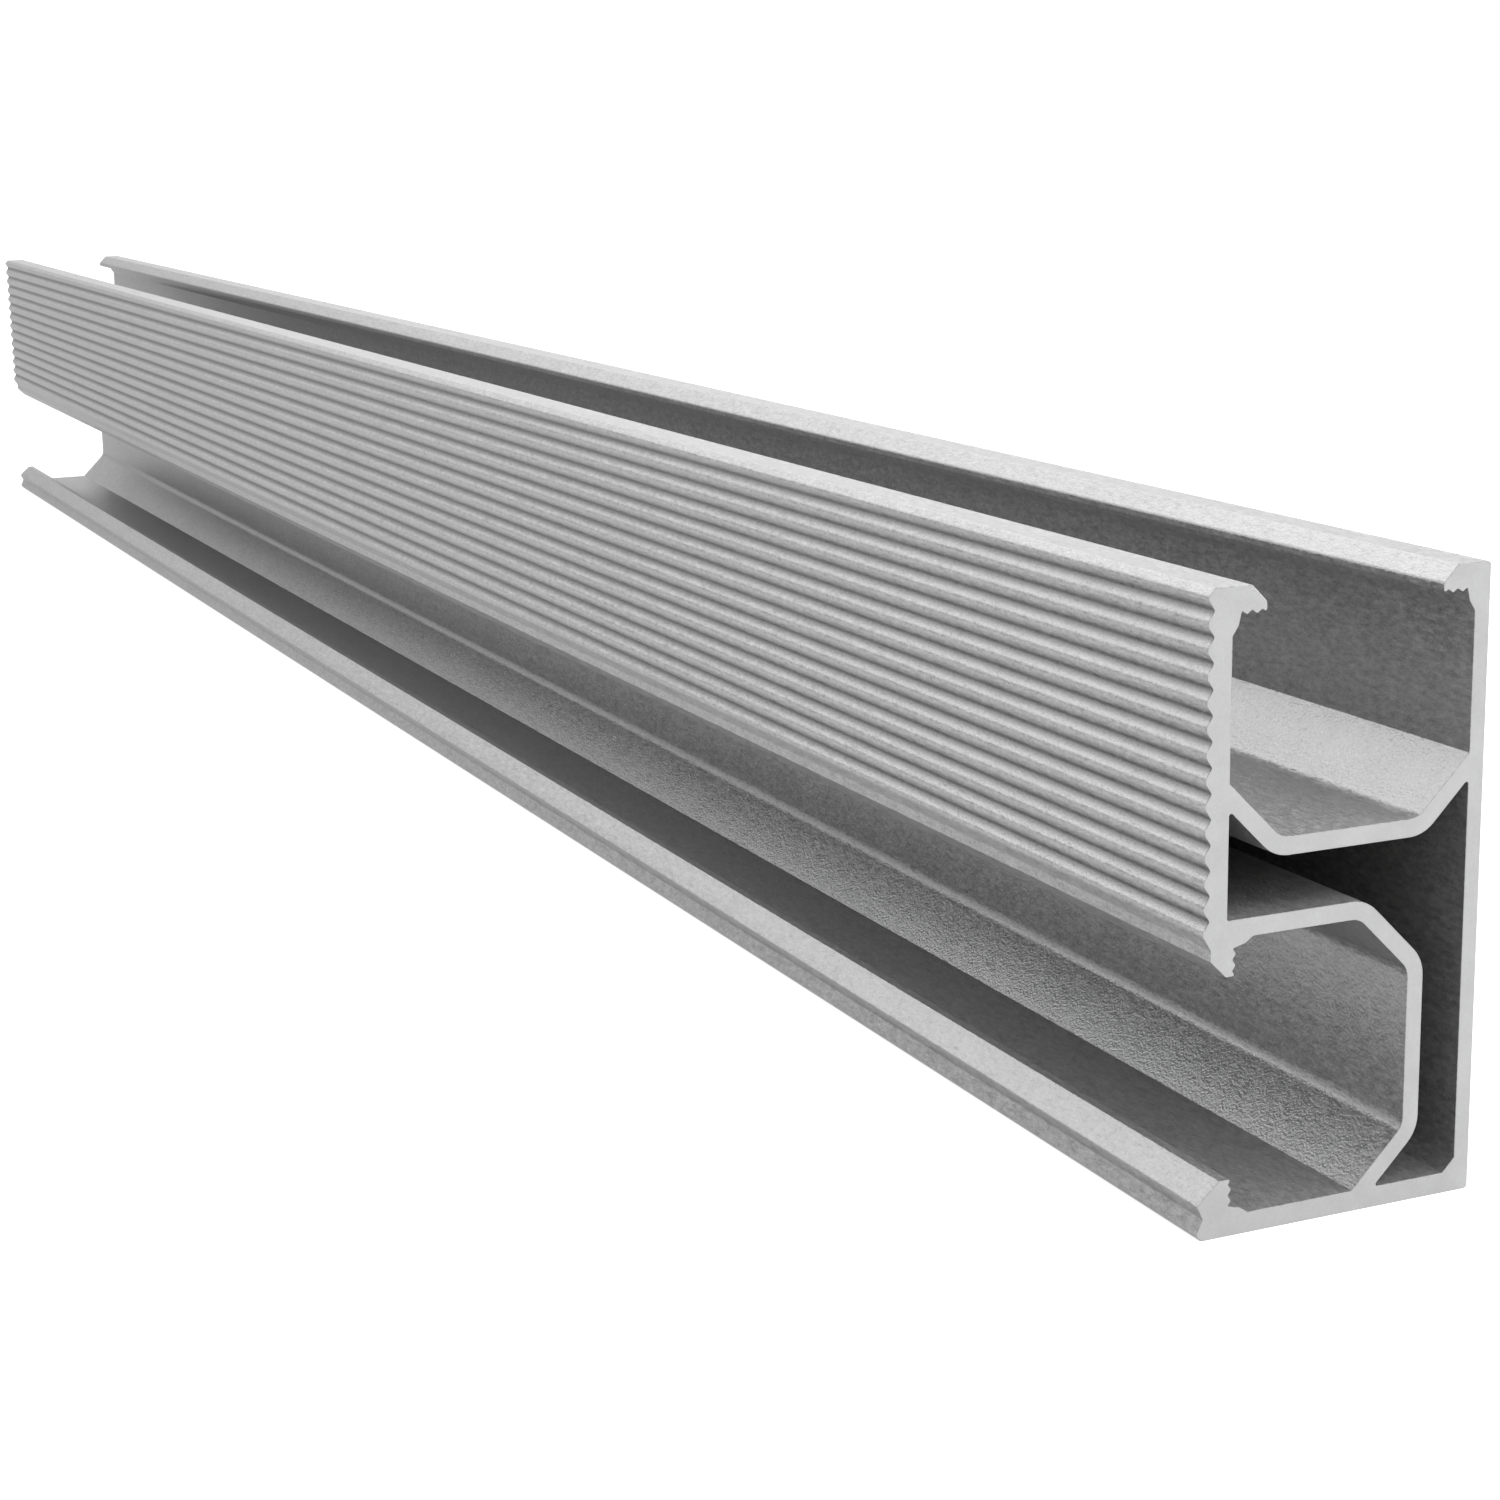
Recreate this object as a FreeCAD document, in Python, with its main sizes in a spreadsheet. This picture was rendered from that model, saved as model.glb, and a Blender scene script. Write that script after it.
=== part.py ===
import FreeCAD, Part
import os
import re
import Sketcher

# Solar mounting rail: one length of extruded aluminium, open to the top and to the front.
# Every section sketch is drawn seen along the rail, in millimetres: its x runs from the ribbed
# front (0) to the plain rear (width), and its y from the underside (0) to the top (height).
# A channel is described in its own frame: u across its mouth and v into its depth.

SIZES = {
    # the stock
    "length": 578.0,
    "height": 60.0,
    "width": 30.0,
    "edge_radius": 0.35,
    # walls; the front wall is measured from the rib crests
    "front_wall": 2.65,
    "rear_wall": 1.65,
    "flange": 2.0,
    "web": 1.75,
    # the two bolt channels; the closed chamber keeps them clear of each other and of the rear
    "side_span": 26.2,
    "chamber_gap": 5.25,
    "chamber_leg": 4.3,
    "chamber_chamfer": 1.3,
    "slope": 5.5,
    "bend_radius": 2.0,
    # the four lips that the bolt heads hook behind
    "lip_reach": 3.5,
    "top_lip": 2.6,
    "side_lip": 3.65,
    "gusset_reach": 0.9,
    "gusset_drop": 1.8,
    "gusset_bulge": 0.15,
    "tooth_depth": 0.36,
    "tooth_count": 2,
    "nose_chamfer": 1.6,
    "nose_radius": 0.5,
    # the ribbed front
    "top_chamfer": 0.8,
    "rib_count": 13,
    "rib_depth": 0.72,
    "rib_radius": 0.4,
    "rib_foot": 0.75,
    # the lower end of the front wall
    "heel_step": 0.93,
    "heel_chamfer": 1.67,
    # the front edge of the flange
    "toe_flat": 1.3,
    "toe_bend": 0.75,
    "toe_rise": 0.8,
    "groove_height": 2.1,
    "groove_width": 2.55,
    "groove_depth": 0.6,
    "foot_chamfer": 0.5,
}

# Lines of the section that more than one cut needs, written in the sizes above.
LINES = {
    "rear_inside": "(width - rear_wall)",
    "top_span": "(width - rear_wall - front_wall)",
    "side_ceiling": "(flange + side_span)",
    "side_depth": "(width - rear_wall - chamber_leg - web)",
    "top_floor": "(side_ceiling + web + chamber_gap + web)",
    "top_depth": "(height - top_floor)",
    "heel_tip": "(side_ceiling - lip_reach)",
    "toe_tip": "(flange + lip_reach)",
    "first_crest": "(height - top_chamfer)",
    "last_crest": "(side_ceiling + rib_foot)",
    "rib_pitch": "((first_crest - last_crest) / rib_count)",
    "tooth_pitch": "((lip_reach - gusset_reach) / (tooth_count + 0.5))",
    "web_slant": "(web * sqrt(2))",
    "web_miter": "(web * (sqrt(2) - 1))",
    "toe_foot": "(groove_height + groove_width / 2)",
}

TOLERANCE = 0.001


def bound(formula):
    """The formula with its lines written out and every size read from the sheet."""
    def spell(match):
        word = match.group()
        if word in LINES:
            return bound(LINES[word])
        return "sizes." + word if word in SIZES else word
    return re.sub(r"[a-z_]+", spell, formula)


def value(owner, formula):
    return float(owner.evalExpression(bound(formula)))


def make_sheet(doc):
    sheet = doc.addObject("Spreadsheet::Sheet", "sizes")
    for row, (alias, size) in enumerate(SIZES.items(), start=1):
        sheet.set(f"A{row}", str(size))
        sheet.setAlias(f"A{row}", alias)
    doc.recompute()
    return sheet


def new_sketch(body, name):
    """An empty sketch across the rail, with its origin on the lower front edge."""
    sketch = body.newObject("Sketcher::SketchObject", name)
    across = [plane for plane in body.Origin.OriginFeatures if plane.Role == "YZ_Plane"]
    sketch.AttachmentSupport = [(across[0], "")]
    sketch.MapMode = "FlatFace"
    sketch.setExpression(".AttachmentOffset.Base.x", bound("-width / 2"))
    return sketch


def draw_outline(sketch, corners):
    """A closed outline of straight lines, each corner held by its two formulas."""
    places = [FreeCAD.Vector(value(sketch, x), value(sketch, y), 0) for x, y in corners]
    first = sketch.GeometryCount
    count = len(places)
    for i in range(count):
        sketch.addGeometry(Part.LineSegment(places[i], places[(i + 1) % count]))
    for i, (x, y) in enumerate(corners):
        sketch.addConstraint(Sketcher.Constraint(
            "Coincident", first + i, 2, first + (i + 1) % count, 1))
        for kind, axis, formula, size in (("DistanceX", -2, x, places[i].x),
                                          ("DistanceY", -1, y, places[i].y)):
            if formula == "0":
                sketch.addConstraint(Sketcher.Constraint("PointOnObject", first + i, 1, axis))
                continue
            held = sketch.addConstraint(Sketcher.Constraint(kind, -1, 1, first + i, 1, size))
            sketch.setExpression(f"Constraints[{held}]", bound(formula))


def new_pad(body, name, corners):
    sketch = new_sketch(body, name + "_outline")
    draw_outline(sketch, corners)
    pad = body.newObject("PartDesign::Pad", name)
    pad.Profile = sketch
    pad.SideType = "Symmetric"
    pad.setExpression("Length", bound("length"))
    return pad


def new_cut(body, name, corners):
    sketch = new_sketch(body, name + "_outline")
    draw_outline(sketch, corners)
    cut = body.newObject("PartDesign::Pocket", name)
    cut.Profile = sketch
    cut.SideType = "Symmetric"
    cut.Type = "ThroughAll"
    return cut


def repeat(body, cut, axis, backwards, pitch, count):
    """Copies of a cut in a row along one axis of its own sketch."""
    row = body.newObject("PartDesign::LinearPattern", cut.Label + "_row")
    row.Originals = [cut]
    row.Direction = (cut.Profile[0], [axis])
    row.Reversed = backwards
    row.Mode = "Spacing"
    row.setExpression("Offset", bound(pitch))
    row.setExpression("Occurrences", bound(count))
    body.Tip = row
    return row


def long_edges(doc, body, corners):
    """Names of the edges that run the length of the rail through the given corners."""
    doc.recompute()
    wanted = [(value(body, x) - value(body, "width / 2"), value(body, y)) for x, y in corners]
    names = []
    for place in wanted:
        for number, edge in enumerate(body.Tip.Shape.Edges, start=1):
            box = edge.BoundBox
            if (box.YLength < TOLERANCE and box.ZLength < TOLERANCE
                    and abs(box.YMin - place[0]) < TOLERANCE
                    and abs(box.ZMin - place[1]) < TOLERANCE):
                names.append(f"Edge{number}")
    if len(names) < len(wanted):
        raise RuntimeError(f"{len(wanted) - len(names)} long edges not found")
    return names


def round_off(doc, body, name, corners, radius):
    """A fillet along the edges that run through the given corners of the section."""
    names = long_edges(doc, body, corners)
    sharp = body.Tip
    rounding = body.newObject("PartDesign::Fillet", name)
    rounding.Base = (sharp, names)
    rounding.setExpression("Radius", bound(radius))
    return rounding


def in_top(u, v):
    """A point of the top channel's frame, in the section's frame."""
    return (f"front_wall + {u}", f"height - {v}")


def in_side(u, v):
    """A point of the side channel's frame, in the section's frame."""
    return (v, f"flange + {u}")


def half_channel(far, span, depth, lip, nose):
    """Corners of one half of a channel, from its mouth to its floor.

    The lip ends in a nose, its underside carries the teeth, and a gusset that starts in the
    last notch leads down to the wall. far is set for the half that is measured back from span.
    """
    corners = [
        (f"lip_reach - {nose}", "0"),
        ("lip_reach", nose),
        ("lip_reach", lip),
        ("gusset_reach + tooth_pitch / 2", lip),
        ("gusset_reach", f"{lip} - tooth_depth"),
        ("gusset_reach / 2 + gusset_bulge", f"{lip} + gusset_drop / 2"),
        ("0", f"{lip} + gusset_drop"),
        ("0", f"{depth} - slope"),
        ("slope", depth),
    ]
    if nose == "0":
        corners = corners[1:]
    return [(f"({span} - ({u}))" if far else f"({u})", f"({v})") for u, v in corners]


def channel(place, span, depth, lip, nose):
    near_half = half_channel(False, span, depth, lip, nose)
    far_half = half_channel(True, span, depth, lip, nose)
    return [place(u, v) for u, v in near_half + far_half[::-1]]


def notch(place, centre, lip):
    """One V between two teeth, with its point inside the lip."""
    return [
        place(f"({centre} - tooth_pitch / 2)", lip),
        place(centre, f"({lip} - tooth_depth)"),
        place(f"({centre} + tooth_pitch / 2)", lip),
    ]


def cut_teeth(body, name, place, axis, span, lip):
    """Notches in both lips of a channel, each row starting at the lip's own nose."""
    near_first = "(lip_reach - tooth_pitch / 2)"
    far_first = f"({span} - lip_reach + tooth_pitch / 2)"
    for side, centre, backwards in (("front", near_first, True), ("rear", far_first, False)):
        cut = new_cut(body, f"{name}_{side}_notch", notch(place, centre, lip))
        repeat(body, cut, axis, backwards, "tooth_pitch", "tooth_count")


def cut_channels(doc, body):
    new_cut(body, "top_channel", channel(in_top, "top_span", "top_depth", "top_lip", "nose_chamfer"))
    new_cut(body, "side_channel", channel(in_side, "side_span", "side_depth", "side_lip", "0"))
    bends = [
        in_top("slope", "top_depth"),
        in_top("(top_span - slope)", "top_depth"),
        in_side("slope", "side_depth"),
        in_side("(side_span - slope)", "side_depth"),
        in_side("side_span", "(side_depth - slope)"),
    ]
    round_off(doc, body, "inner_bends", bends, "bend_radius")
    noses = [in_top("lip_reach", "nose_chamfer"), in_top("(top_span - lip_reach)", "nose_chamfer")]
    round_off(doc, body, "noses", noses, "nose_radius")


def cut_chamber(doc, body):
    """The closed chamber, bounded by the channels' floors, the rear wall and the flange."""
    bends = [
        ("front_wall + slope - web_miter", "top_floor - web"),
        ("rear_inside - slope + web_miter", "top_floor - web"),
        ("side_depth + web", "flange + slope - web_miter"),
        ("side_depth + web", "side_ceiling - slope + web_miter"),
        ("side_depth - slope + web_miter", "side_ceiling + web"),
    ]
    new_cut(body, "chamber", [
        ("front_wall", "top_floor + slope - web_slant"),
        bends[0],
        bends[1],
        ("rear_inside", "top_floor + slope - web_slant"),
        ("rear_inside", "flange + chamber_chamfer"),
        ("rear_inside - chamber_chamfer", "flange"),
        ("side_depth - slope + web_slant", "flange"),
        bends[2],
        bends[3],
        bends[4],
        ("front_wall", "side_ceiling + web"),
    ])
    round_off(doc, body, "outer_bends", bends, "bend_radius + web")


def cut_front(body):
    """The shapes of the front: the wall's two ends and the flange's grooved edge."""
    new_cut(body, "top_front_chamfer", [
        ("0", "height"),
        ("0", "first_crest"),
        ("top_chamfer", "height"),
    ])
    new_cut(body, "heel", [
        ("0", "last_crest"),
        ("heel_step", "last_crest - heel_step * rib_pitch / rib_depth / 2"),
        ("heel_step", "heel_tip + heel_chamfer"),
        ("heel_step + heel_chamfer", "heel_tip"),
        ("0", "heel_tip"),
    ])
    new_cut(body, "toe", [
        ("0", "toe_foot"),
        ("toe_bend", "toe_foot + toe_rise"),
        ("side_lip - toe_flat", "toe_tip"),
        ("0", "toe_tip"),
    ])
    new_cut(body, "edge_groove", [
        ("0", "toe_foot - groove_width"),
        ("groove_depth", "groove_height"),
        ("0", "toe_foot"),
    ])
    new_cut(body, "foot_chamfer_cut", [
        ("0", "0"),
        ("foot_chamfer", "0"),
        ("0", "foot_chamfer"),
    ])


def cut_ribs(doc, body):
    """V grooves down the front wall, which leave the ribs standing between them."""
    cut = new_cut(body, "rib_groove", [
        ("0", "first_crest"),
        ("rib_depth", "first_crest - rib_pitch / 2"),
        ("0", "first_crest - rib_pitch"),
    ])
    repeat(body, cut, "V_Axis", True, "rib_pitch", "rib_count")
    count = int(value(body, "rib_count"))
    crests = [("0", f"first_crest - rib_pitch * {number}") for number in range(count + 1)]
    round_off(doc, body, "rib_crests", crests, "rib_radius")


def make_rail(doc):
    body = doc.addObject("PartDesign::Body", "rail")
    body.Label = "rail"
    new_pad(body, "stock", [("0", "0"), ("width", "0"), ("width", "height"), ("0", "height")])
    round_off(doc, body, "rear_edges", [("width", "0"), ("width", "height")], "edge_radius")
    cut_channels(doc, body)
    cut_chamber(doc, body)
    cut_teeth(body, "top", in_top, "H_Axis", "top_span", "top_lip")
    cut_teeth(body, "side", in_side, "V_Axis", "side_span", "side_lip")
    cut_front(body)
    cut_ribs(doc, body)
    return body


def check(doc, bodies):
    for thing in doc.Objects:
        if "Invalid" in thing.State or "Error" in thing.State:
            raise RuntimeError(f"{thing.Label} failed: {thing.State}")
    for body in bodies:
        if body.Shape.isNull() or not body.Shape.isValid() or len(body.Shape.Solids) != 1:
            raise RuntimeError(f"{body.Label} has no single valid solid")


document = FreeCAD.newDocument("mounting_rail")
make_sheet(document)
pieces = [make_rail(document)]
document.recompute()
check(document, pieces)
os.makedirs("parts", exist_ok=True)
for piece in pieces:
    piece.Shape.exportStep(f"parts/{piece.Label}.step")
    box = piece.Shape.BoundBox
    print(piece.Label, "volume", round(piece.Shape.Volume), "mm3,", "box",
          round(box.XLength, 2), round(box.YLength, 2), round(box.ZLength, 2))
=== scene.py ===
import math

import bmesh
import bpy
from mathutils import Matrix, Vector


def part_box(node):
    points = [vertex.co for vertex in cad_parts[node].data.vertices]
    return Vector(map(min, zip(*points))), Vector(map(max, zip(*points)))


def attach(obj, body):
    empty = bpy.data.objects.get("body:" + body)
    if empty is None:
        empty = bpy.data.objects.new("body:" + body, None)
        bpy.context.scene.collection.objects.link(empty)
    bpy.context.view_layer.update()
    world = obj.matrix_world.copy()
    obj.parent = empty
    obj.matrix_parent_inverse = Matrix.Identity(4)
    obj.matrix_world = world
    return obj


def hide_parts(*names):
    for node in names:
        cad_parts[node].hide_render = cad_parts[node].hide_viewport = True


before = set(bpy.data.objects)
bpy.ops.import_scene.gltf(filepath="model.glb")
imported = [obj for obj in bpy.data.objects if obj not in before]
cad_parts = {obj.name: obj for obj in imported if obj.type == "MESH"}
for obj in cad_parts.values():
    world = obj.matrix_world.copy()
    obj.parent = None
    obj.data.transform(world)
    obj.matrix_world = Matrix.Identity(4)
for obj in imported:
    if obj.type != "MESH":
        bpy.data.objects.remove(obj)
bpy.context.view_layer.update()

# The rail: one length of 6063 aluminium, pressed hot through a die so that one section runs from
# end to end, then stretched straight and sawn square. Its long edges leave the die a little round,
# and a file takes the burr off the sawn ones.
#
# The pressed walls are mill-finish aluminium as it leaves the die: an even satin grey with a fine
# grain, and faint lines where the die drew along them. The real grain is finer than a picture can
# show, so it is drawn about three times coarser. Its skin scatters part of the light, so it is only
# partly metallic, and it has no clear coat. The ribs carry painted light in their colour: a painted
# highlight on the crests, and painted shade in the bottoms of the grooves.
MM = 0.001
GRAIN = 0.55 * MM
GRAIN_RUN = 1.4 * MM
GRAIN_DARK, GRAIN_PALE = "#4A4A4A", "#C9C9C9"
PITS = 0.3 * MM
PIT_DEPTH = 0.05 * MM
CLOUD = 6 * MM
CLOUD_DARK, CLOUD_PALE = 0.97, 1.02
DIE_LINE = 0.25 * MM
DIE_RUN = 120 * MM
LINE_HEIGHT = 0.004 * MM
# The ribs' painted light: a painted highlight on the crests, painted shade in the grooves.
RIB_CREST, GROOVE_BOTTOM, RIBS_INSIDE = -14.75 * MM, -14.3 * MM, -14.2 * MM
RIBS_MIDDLE, RIBS_HALF = 44.02 * MM, 15.12 * MM
PAINTED_CREST_HIGHLIGHT, PAINTED_GROOVE_SHADE = 1.15, 0.5
METAL_SHARE = 0.6
SMOOTHEST, ROUGHEST = 0.28, 0.44


def add_node(tree, kind, inputs=None, **settings):
    """One node with its settings. An input takes a plain value, a socket, or a node's first output,
    or a list of these where inputs share a name."""
    node = tree.nodes.new(kind)
    for name, setting in settings.items():
        setattr(node, name, setting)
    for name, value in (inputs or {}).items():
        sockets = [socket for socket in node.inputs if socket.enabled and socket.name == name]
        for number, source in enumerate(value if isinstance(value, list) else [value]):
            socket = sockets[min(number, len(sockets) - 1)]
            if isinstance(source, bpy.types.Node):
                source = next(output for output in source.outputs if output.enabled)
            if isinstance(source, bpy.types.NodeSocket):
                tree.links.new(source, socket)
            else:
                socket.default_value = source
    return node


def linear(code):
    """An sRGB hex colour as the linear RGBA that a shader takes."""
    shares = [int(code[i:i + 2], 16) / 255 for i in (1, 3, 5)]
    tones = [s / 12.92 if s <= 0.04045 else ((s + 0.055) / 1.055) ** 2.4 for s in shares]
    return (*tones, 1.0)


def new_material(name):
    material = bpy.data.materials.new(name)
    material.use_nodes = True
    material.node_tree.nodes.clear()
    return material, material.node_tree


pressed, tree = new_material("aluminium_pressed_satin")
place = add_node(tree, "ShaderNodeTexCoord").outputs["Object"]
pressed_out = add_node(tree, "ShaderNodeMapping", {
    "Vector": place, "Scale": (GRAIN / GRAIN_RUN, 1.0, 1.0)})
grain = add_node(tree, "ShaderNodeTexNoise", {
    "Vector": pressed_out, "Scale": 1 / GRAIN, "Detail": 3.0, "Roughness": 1.0})
pits = add_node(tree, "ShaderNodeTexNoise", {
    "Vector": place, "Scale": 1 / PITS, "Detail": 1.0, "Roughness": 0.5})
cloud = add_node(tree, "ShaderNodeTexNoise", {
    "Vector": place, "Scale": 1 / CLOUD, "Detail": 3.0, "Roughness": 0.55})
drawn = add_node(tree, "ShaderNodeMapping", {
    "Vector": place, "Scale": (DIE_LINE / DIE_RUN, 1.0, 1.0)})
lines = add_node(tree, "ShaderNodeTexNoise", {
    "Vector": drawn, "Scale": 1 / DIE_LINE, "Detail": 1.0})
speckled = add_node(tree, "ShaderNodeMix", {
    "Factor": grain, "A": linear(GRAIN_DARK), "B": linear(GRAIN_PALE)}, data_type="RGBA")
shaded = add_node(tree, "ShaderNodeMapRange", {
    "Value": cloud, "From Min": 0.3, "From Max": 0.7, "To Min": CLOUD_DARK, "To Max": CLOUD_PALE})
across = add_node(tree, "ShaderNodeSeparateXYZ", {"Vector": place})
# Painted light on the ribs: a painted highlight on the crests and painted shade in the grooves.
painted_light_by_depth = add_node(tree, "ShaderNodeMapRange", {
    "Value": across.outputs["Y"], "From Min": RIB_CREST, "From Max": GROOVE_BOTTOM,
    "To Min": PAINTED_CREST_HIGHLIGHT, "To Max": PAINTED_GROOVE_SHADE}, interpolation_type="SMOOTHSTEP")
at_ribs = add_node(tree, "ShaderNodeMath", {
    "Value": [across.outputs["Z"], RIBS_MIDDLE, RIBS_HALF]}, operation="COMPARE")
outside = add_node(tree, "ShaderNodeMath", {
    "Value": [across.outputs["Y"], RIBS_INSIDE]}, operation="LESS_THAN")
ribbed = add_node(tree, "ShaderNodeMath", {"Value": [at_ribs, outside]}, operation="MULTIPLY")
painted_rib_light = add_node(tree, "ShaderNodeMapRange", {
    "Value": ribbed, "To Min": 1.0, "To Max": painted_light_by_depth})
cloud_and_painted_light = add_node(tree, "ShaderNodeMath", {"Value": [shaded, painted_rib_light]}, operation="MULTIPLY")
colour = add_node(tree, "ShaderNodeVectorMath", {
    "Vector": speckled, "Scale": cloud_and_painted_light}, operation="SCALE")
rough = add_node(tree, "ShaderNodeMapRange", {
    "Value": grain, "From Min": 0.4, "From Max": 0.6, "To Min": SMOOTHEST, "To Max": ROUGHEST})
pitted = add_node(tree, "ShaderNodeBump", {
    "Height": pits, "Distance": PIT_DEPTH, "Strength": 1.0})
lined = add_node(tree, "ShaderNodeBump", {
    "Height": lines, "Distance": LINE_HEIGHT, "Strength": 1.0, "Normal": pitted})
surface = add_node(tree, "ShaderNodeBsdfPrincipled", {
    "Base Color": colour, "Metallic": METAL_SHARE, "Specular IOR Level": 0.0,
    "Roughness": rough, "Normal": lined})
add_node(tree, "ShaderNodeOutputMaterial", {"Surface": surface})

# The two ends are the same metal, cut square by a circular saw. The cut is flatter and finer than
# the walls, so it has no sparkle, and only faint shallow arcs that the teeth left.
SAW_CENTRE = (0.0, 0.16, -0.09)
SAW_FEED = 0.35 * MM
SAW_HEIGHT = 0.002 * MM
FROST = 0.22 * MM
FROST_DARK, FROST_PALE = "#A3A3A4", "#AEAEAE"
SAWN_CLOUD = 3 * MM
SAWN_CLOUD_DARK, SAWN_CLOUD_PALE = 0.96, 1.03
SAWN_ROUGHNESS = 0.5

sawn, tree = new_material("aluminium_sawn")
place = add_node(tree, "ShaderNodeTexCoord").outputs["Object"]
centred = add_node(tree, "ShaderNodeMapping", {
    "Vector": place, "Location": tuple(-c for c in SAW_CENTRE), "Scale": (0.0, 1.0, 1.0)})
reach = add_node(tree, "ShaderNodeVectorMath", {"Vector": centred}, operation="LENGTH")
sweep = add_node(tree, "ShaderNodeCombineXYZ", {"X": reach.outputs["Value"]})
teeth = add_node(tree, "ShaderNodeTexNoise", {
    "Vector": sweep, "Scale": 1 / SAW_FEED, "Detail": 2.0})
frost = add_node(tree, "ShaderNodeTexNoise", {
    "Vector": place, "Scale": 1 / FROST, "Detail": 2.0})
cloud = add_node(tree, "ShaderNodeTexNoise", {
    "Vector": place, "Scale": 1 / SAWN_CLOUD, "Detail": 2.0})
frosted = add_node(tree, "ShaderNodeMix", {
    "Factor": frost, "A": linear(FROST_DARK), "B": linear(FROST_PALE)}, data_type="RGBA")
shaded = add_node(tree, "ShaderNodeMapRange", {
    "Value": cloud, "From Min": 0.3, "From Max": 0.7,
    "To Min": SAWN_CLOUD_DARK, "To Max": SAWN_CLOUD_PALE})
colour = add_node(tree, "ShaderNodeVectorMath", {
    "Vector": frosted, "Scale": shaded}, operation="SCALE")
scored = add_node(tree, "ShaderNodeBump", {
    "Height": teeth, "Distance": SAW_HEIGHT, "Strength": 1.0})
surface = add_node(tree, "ShaderNodeBsdfPrincipled", {
    "Base Color": colour, "Metallic": 1.0, "Roughness": SAWN_ROUGHNESS, "Normal": scored})
add_node(tree, "ShaderNodeOutputMaterial", {"Surface": surface})

# The rail's mesh is the section at the near end of the CAD solid, pressed along the length. Each
# corner of it gets the round that the die leaves: least in the small notches, and most on the
# crests of the ribs, apart from the top one, which is the lower corner of the chamfer. A file has
# taken the burr off the sawn edges.
MERGE = 0.001 * MM
DIE_RADIUS = 0.20 * MM
NOTCH_RADIUS = 0.10 * MM
FILED_EDGE = 0.06 * MM
CREST_ROUND = 0.7 * MM
CREST_DEPTH = 0.15 * MM
CRESTS_FROM, CRESTS_TO = 28 * MM, 58 * MM
ROUND_STEPS = 6
SHARP_FROM = math.radians(28)
LONG_RUN = 0.8 * MM
FACES_END = 0.99

rail_low, rail_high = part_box("rail")


def die_section(node):
    """The near end of a CAD node as a flat curve: the metal lies on the left of each closed line,
    and each corner has the radius that the die leaves there."""
    solid = bmesh.new()
    solid.from_mesh(node.data)
    bmesh.ops.remove_doubles(solid, verts=solid.verts, dist=MERGE)
    onward = {}
    for face in solid.faces:
        for loop in face.loops:
            beside = [side for side in loop.edge.link_faces if side.normal.x < FACES_END]
            if face.normal.x > FACES_END and beside:
                onward[loop.vert] = loop.link_loop_next.vert
    section = bpy.data.curves.new("rail_section", "CURVE")
    while onward:
        start, here = onward.popitem()
        ring = [start]
        while here is not start:
            ring.append(here)
            here = onward.pop(here)
        corners = []
        for number, vert in enumerate(ring):
            before, after = ring[number - 1].co, ring[(number + 1) % len(ring)].co
            outermost = vert.co.y < rail_low.y + CREST_DEPTH
            if outermost and CRESTS_FROM < vert.co.z < CRESTS_TO:
                if vert.co.y < min(before.y, after.y):
                    corners.append((rail_low.y, vert.co.z, CREST_ROUND))
                continue
            come, go = (vert.co - before).yz, (after - vert.co).yz
            bend = -come.angle_signed(go)
            run = min(come.length, go.length)
            radius = NOTCH_RADIUS if bend < 0 and run < LONG_RUN else DIE_RADIUS
            if abs(bend) <= SHARP_FROM and run <= LONG_RUN:
                radius = 0.0
            corners.append((vert.co.y, vert.co.z, radius))
        line = section.splines.new("POLY")
        line.points.add(len(corners) - 1)
        line.use_cyclic_u = True
        for point, (across, up, radius) in zip(line.points, corners):
            point.co = (across, up, 0.0, 1.0)
            point.radius = radius
    solid.free()
    return section


press = bpy.data.node_groups.new("press_section", "GeometryNodeTree")
press.interface.new_socket("Section", in_out="INPUT", socket_type="NodeSocketGeometry")
length_input, filed_input, steps_input = [
    press.interface.new_socket(name, in_out="INPUT", socket_type=kind) for name, kind in (
        ("Length", "NodeSocketFloat"), ("Filed Edge", "NodeSocketFloat"),
        ("Round Steps", "NodeSocketInt"))]
press.interface.new_socket("Rail", in_out="OUTPUT", socket_type="NodeSocketGeometry")
given = add_node(press, "NodeGroupInput")
length, filed = given.outputs["Length"], given.outputs["Filed Edge"]

rounded = add_node(press, "GeometryNodeFilletCurve", {
    "Curve": given.outputs["Section"], "Radius": add_node(press, "GeometryNodeInputRadius"),
    "Limit Radius": True}, mode="POLY")
press.links.new(given.outputs["Round Steps"], rounded.inputs["Count"])
inward = add_node(press, "ShaderNodeVectorMath", {
    "Vector": [(0.0, 0.0, 1.0), add_node(press, "GeometryNodeInputTangent")]},
    operation="CROSS_PRODUCT")
inset = add_node(press, "ShaderNodeVectorMath", {
    "Vector": inward, "Scale": filed}, operation="SCALE")
outline = add_node(press, "GeometryNodeStoreNamedAttribute", {
    "Geometry": rounded, "Name": "inset", "Value": inset}, data_type="FLOAT_VECTOR", domain="POINT")
inset = add_node(press, "GeometryNodeInputNamedAttribute", {
    "Name": "inset"}, data_type="FLOAT_VECTOR")
outset = add_node(press, "ShaderNodeVectorMath", {
    "Vector": inset, "Scale": -1.0}, operation="SCALE")
far_edge = add_node(press, "GeometryNodeSetPosition", {"Geometry": outline, "Offset": inset})

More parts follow.
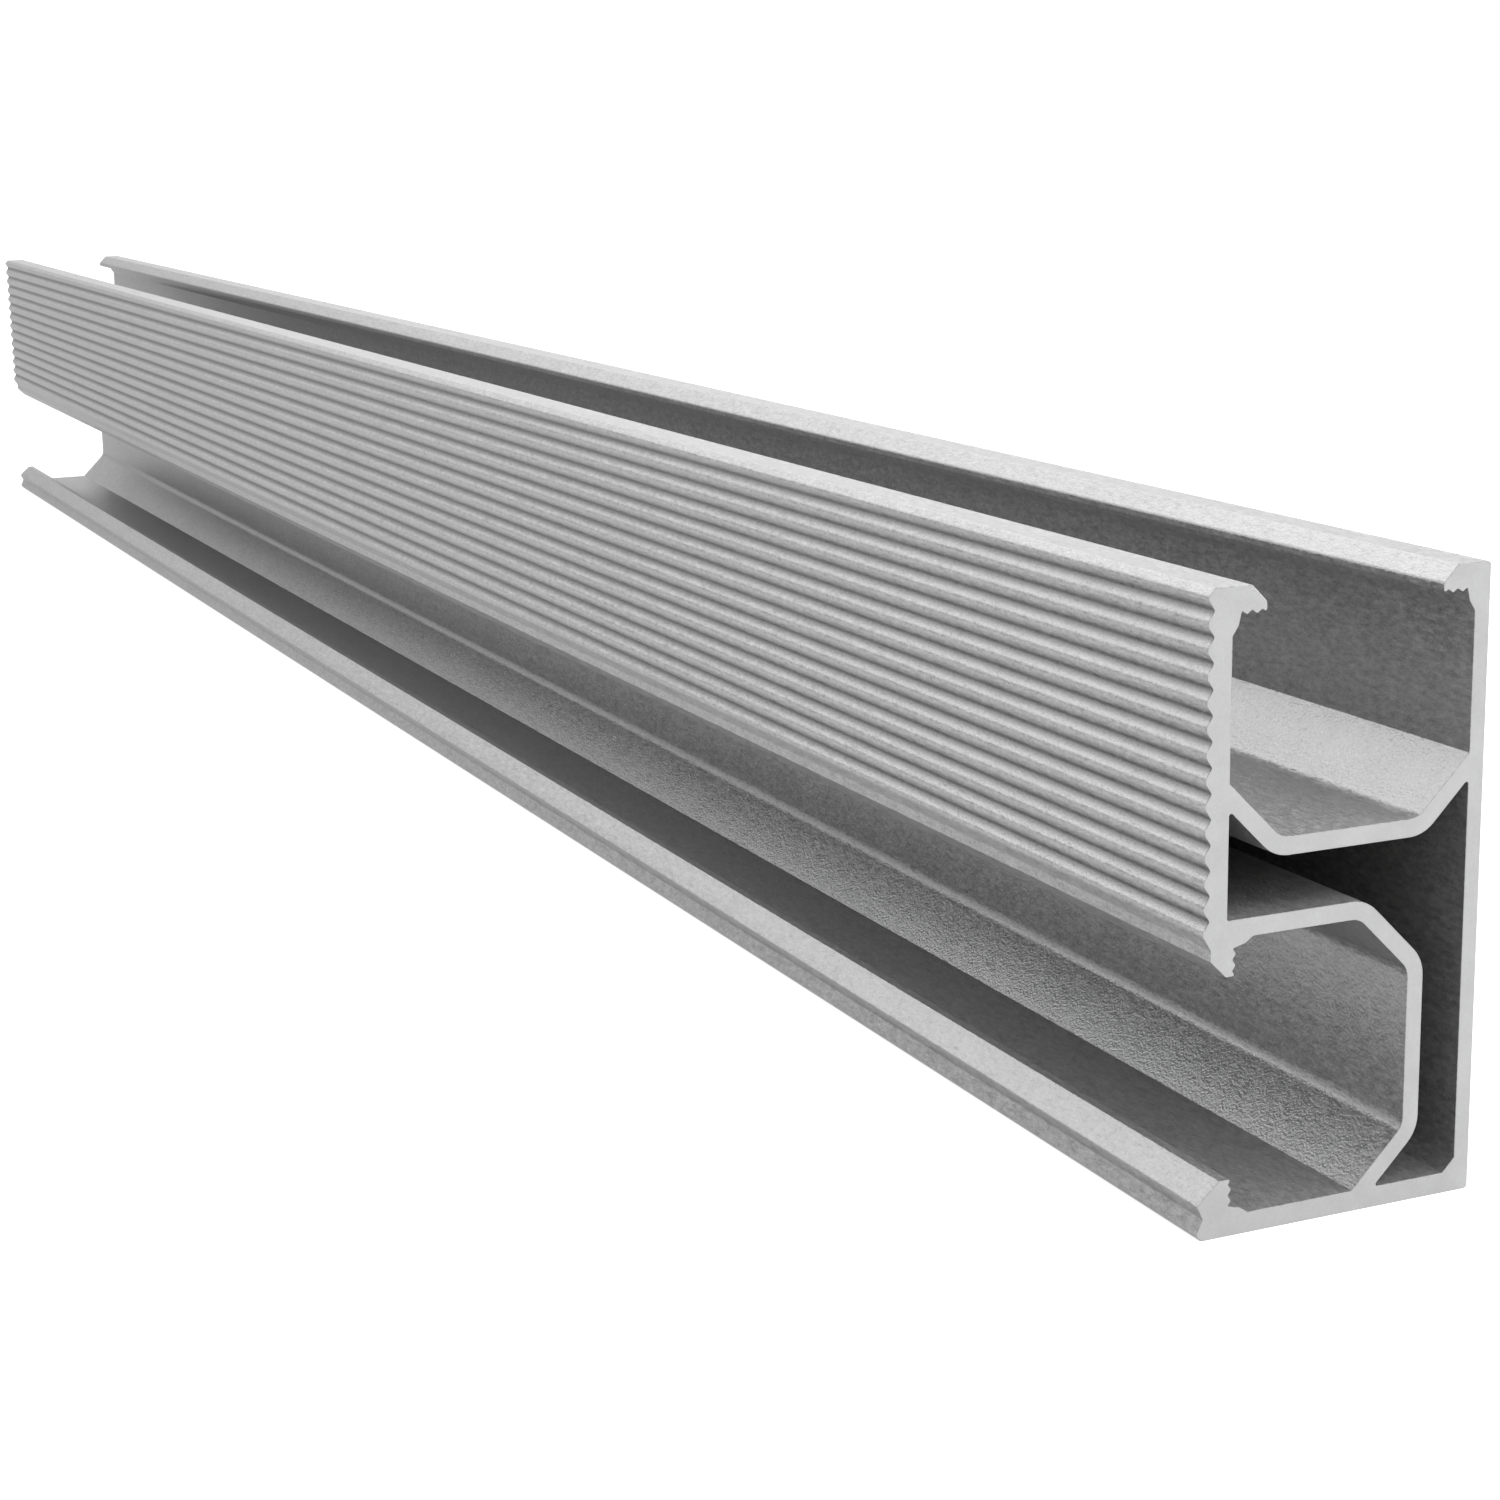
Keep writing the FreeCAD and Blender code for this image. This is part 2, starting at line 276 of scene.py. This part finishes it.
along_edge = add_node(press, "ShaderNodeCombineXYZ", {"Z": filed})
far_filed = add_node(press, "GeometryNodeExtrudeMesh", {
    "Mesh": add_node(press, "GeometryNodeCurveToMesh", {"Curve": far_edge}),
    "Offset": along_edge}, mode="EDGES")
far_wall = add_node(press, "GeometryNodeSetPosition", {
    "Geometry": far_filed, "Selection": far_filed.outputs["Top"], "Offset": outset})
wall_length = add_node(press, "ShaderNodeMath", {
    "Value": [filed, -2.0, length]}, operation="MULTIPLY_ADD")
walls = add_node(press, "GeometryNodeExtrudeMesh", {
    "Mesh": far_wall, "Selection": far_filed.outputs["Top"],
    "Offset": add_node(press, "ShaderNodeCombineXYZ", {"Z": wall_length})}, mode="EDGES")
near_filed = add_node(press, "GeometryNodeExtrudeMesh", {
    "Mesh": walls, "Selection": walls.outputs["Top"], "Offset": along_edge}, mode="EDGES")
near_edge = add_node(press, "GeometryNodeSetPosition", {
    "Geometry": near_filed, "Selection": near_filed.outputs["Top"], "Offset": inset})

cut = add_node(press, "GeometryNodeFillCurve", {"Curve": far_edge}, mode="NGONS")
near_cut = add_node(press, "GeometryNodeTransform", {
    "Geometry": cut, "Translation": add_node(press, "ShaderNodeCombineXYZ", {"Z": length})})
far_cut = add_node(press, "GeometryNodeFlipFaces", {"Mesh": cut})
whole = add_node(press, "GeometryNodeMergeByDistance", {
    "Geometry": add_node(press, "GeometryNodeJoinGeometry", {
        "Geometry": [add_node(press, "GeometryNodeFlipFaces", {"Mesh": near_edge}),
                     near_cut, far_cut]}),
    "Distance": MERGE})
half_back = add_node(press, "ShaderNodeMath", {"Value": [length, -0.5]}, operation="MULTIPLY")
lying = add_node(press, "GeometryNodeTransform", {
    "Geometry": whole, "Rotation": (math.radians(90), 0.0, math.radians(90)),
    "Translation": add_node(press, "ShaderNodeCombineXYZ", {"X": half_back})})
smooth = add_node(press, "GeometryNodeSetShadeSmooth", {"Geometry": lying})
clear = add_node(press, "GeometryNodeRemoveAttribute", {"Geometry": smooth, "Name": "inset"})
real = add_node(press, "GeometryNodeRealizeInstances", {"Geometry": clear})
all_sawn = add_node(press, "GeometryNodeSetMaterial", {"Geometry": real, "Material": sawn})
finished = add_node(press, "GeometryNodeSetMaterial", {
    "Geometry": all_sawn, "Selection": walls.outputs["Side"], "Material": pressed})
add_node(press, "NodeGroupOutput", {"Rail": finished})

blank = bpy.data.objects.new("rail_blank", die_section(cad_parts["rail"]))
bpy.context.scene.collection.objects.link(blank)
pressing = blank.modifiers.new("press_section", "NODES")
pressing.node_group = press
pressing[length_input.identifier] = rail_high.x - rail_low.x
pressing[filed_input.identifier] = FILED_EDGE
pressing[steps_input.identifier] = ROUND_STEPS
rail = bpy.data.objects.new("mounting_rail", bpy.data.meshes.new_from_object(
    blank.evaluated_get(bpy.context.evaluated_depsgraph_get())))
bpy.data.objects.remove(blank)
bpy.context.scene.collection.objects.link(rail)
rail.modifiers.new("flats", "WEIGHTED_NORMAL")
rail.data = bpy.data.meshes.new_from_object(
    rail.evaluated_get(bpy.context.evaluated_depsgraph_get()))
rail.modifiers.clear()
rail.data.materials.pop(index=0)
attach(rail, "root")
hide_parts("rail")

# The floor is plain white. It keeps the rail's shadow, and for the camera and for reflections it
# glows just enough to meet the background without a line.
FLOOR_HALF = 3.0
FLOOR_GLOW = 0.84
FLOOR_PAPER, WHITE = "#B4B4B4", "#FFFFFF"


def looked_at(tree):
    """1 where the camera, a reflection or a view through glass meets the surface, and 0 where only
    the light that spreads from it counts."""
    ray = add_node(tree, "ShaderNodeLightPath").outputs
    direct = add_node(tree, "ShaderNodeMath", {
        "Value": [ray["Is Camera Ray"], ray["Is Glossy Ray"]]}, operation="MAXIMUM")
    return add_node(tree, "ShaderNodeMath", {
        "Value": [direct, ray["Is Transmission Ray"]]}, operation="MAXIMUM")


paper, tree = new_material("white_floor")
glow = add_node(tree, "ShaderNodeMath", {
    "Value": [looked_at(tree), FLOOR_GLOW]}, operation="MULTIPLY")
lit = add_node(tree, "ShaderNodeBsdfDiffuse", {"Color": linear(FLOOR_PAPER)})
own = add_node(tree, "ShaderNodeEmission", {"Color": linear(WHITE), "Strength": glow})
both = add_node(tree, "ShaderNodeAddShader", {"Shader": [lit, own]})
add_node(tree, "ShaderNodeOutputMaterial", {"Surface": both})

floor_mesh = bpy.data.meshes.new("floor")
floor_mesh.from_pydata(
    [(x * FLOOR_HALF, y * FLOOR_HALF, rail_low.z)
     for x, y in ((-1, -1), (1, -1), (1, 1), (-1, 1))],
    [], [(0, 1, 2, 3)])
floor_mesh.materials.append(paper)
floor = bpy.data.objects.new("floor", floor_mesh)
bpy.context.scene.collection.objects.link(floor)

# The room: white wherever the camera or a reflection looks, and a soft grey light elsewhere.
ROOM_LIGHT = 0.45

room = bpy.data.worlds.new("room")
room.use_nodes = True
room.node_tree.nodes.clear()
tree = room.node_tree
level = add_node(tree, "ShaderNodeMapRange", {
    "Value": looked_at(tree), "To Min": ROOM_LIGHT, "To Max": 1.0})
air = add_node(tree, "ShaderNodeBackground", {"Color": linear(WHITE), "Strength": level})
add_node(tree, "ShaderNodeOutputWorld", {"Surface": air})
bpy.context.scene.world = room

# Soft boxes: each has its place, its width and height, its power, and the point that it faces. The
# far ones light the rail along its length, and the near ones its sawn end and the walls beside it.
LAMPS = {
    "far_middle": ((-1.37, 0.0, 0.85), (0.9, 0.5), 3.4, (0.0, 0.0, 0.03)),
    "far_right": ((-1.1, 0.8, 0.85), (0.9, 0.5), 3.0, (0.0, 0.0, 0.03)),
    "far_left": ((-1.1, -0.8, 0.85), (0.9, 0.5), 2.3, (0.0, 0.0, 0.03)),
    "low_left": ((-1.38, -0.64, 0.52), (0.6, 0.3), 0.4, (0.0, 0.0, 0.03)),
    "side_top": ((-0.5, -0.85, 1.3), (1.15, 0.7), 1.9, (0.0, 0.0, 0.03)),
    "over_top": ((-0.14, 0.0, 0.5), (0.45, 0.3), 1.2, (0.25, 0.0, 0.05)),
    "rear_high": ((0.44, 0.33, 0.5), (0.45, 0.3), 1.9, (0.25, 0.0, 0.05)),
    "rear_low": ((0.25, 0.55, 0.27), (0.45, 0.3), 2.9, (0.25, 0.0, 0.05)),
    "end_high": ((0.64, 0.0, 0.5), (0.45, 0.3), 0.9, (0.25, 0.0, 0.05)),
    "end_low": ((0.8, 0.0, 0.27), (0.45, 0.3), 1.0, (0.25, 0.0, 0.05)),
    "near_spark": ((-0.02, -0.2, 0.15), (0.1, 0.07), 0.05, (0.26, 0.0, 0.04)),
}
for name, (spot, (width, height), power, target) in LAMPS.items():
    light = bpy.data.lights.new(name, "AREA")
    light.shape = "RECTANGLE"
    light.size, light.size_y = width, height
    light.energy = power
    lamp = bpy.data.objects.new(name, light)
    aim = Vector(target) - Vector(spot)
    lamp.matrix_world = Matrix.Translation(spot) @ aim.to_track_quat("-Z", "Y").to_matrix().to_4x4()
    lamp.visible_camera = False
    bpy.context.scene.collection.objects.link(lamp)

# The camera stands close to the near end and looks along the rail from its ribbed side.
CAMERA_PLACE = (0.49919, -0.15086, 0.10365)
CAMERA_TURN = math.radians(66.227)
CAMERA_DIP = math.radians(13.008)
CAMERA_ROLL = math.radians(-1.051)
FOCAL_LENGTH = 69.98
NEAREST = 0.02

lens = bpy.data.cameras.new("camera")
lens.lens = FOCAL_LENGTH
lens.clip_start = NEAREST
camera = bpy.data.objects.new("camera", lens)
camera.matrix_world = (
    Matrix.Translation(CAMERA_PLACE)
    @ Matrix.Rotation(CAMERA_TURN, 4, "Z")
    @ Matrix.Rotation(math.pi / 2 - CAMERA_DIP, 4, "X")
    @ Matrix.Rotation(CAMERA_ROLL, 4, "Z"))
bpy.context.scene.collection.objects.link(camera)
bpy.context.scene.camera = camera
bpy.context.scene.view_settings.view_transform = "Standard"
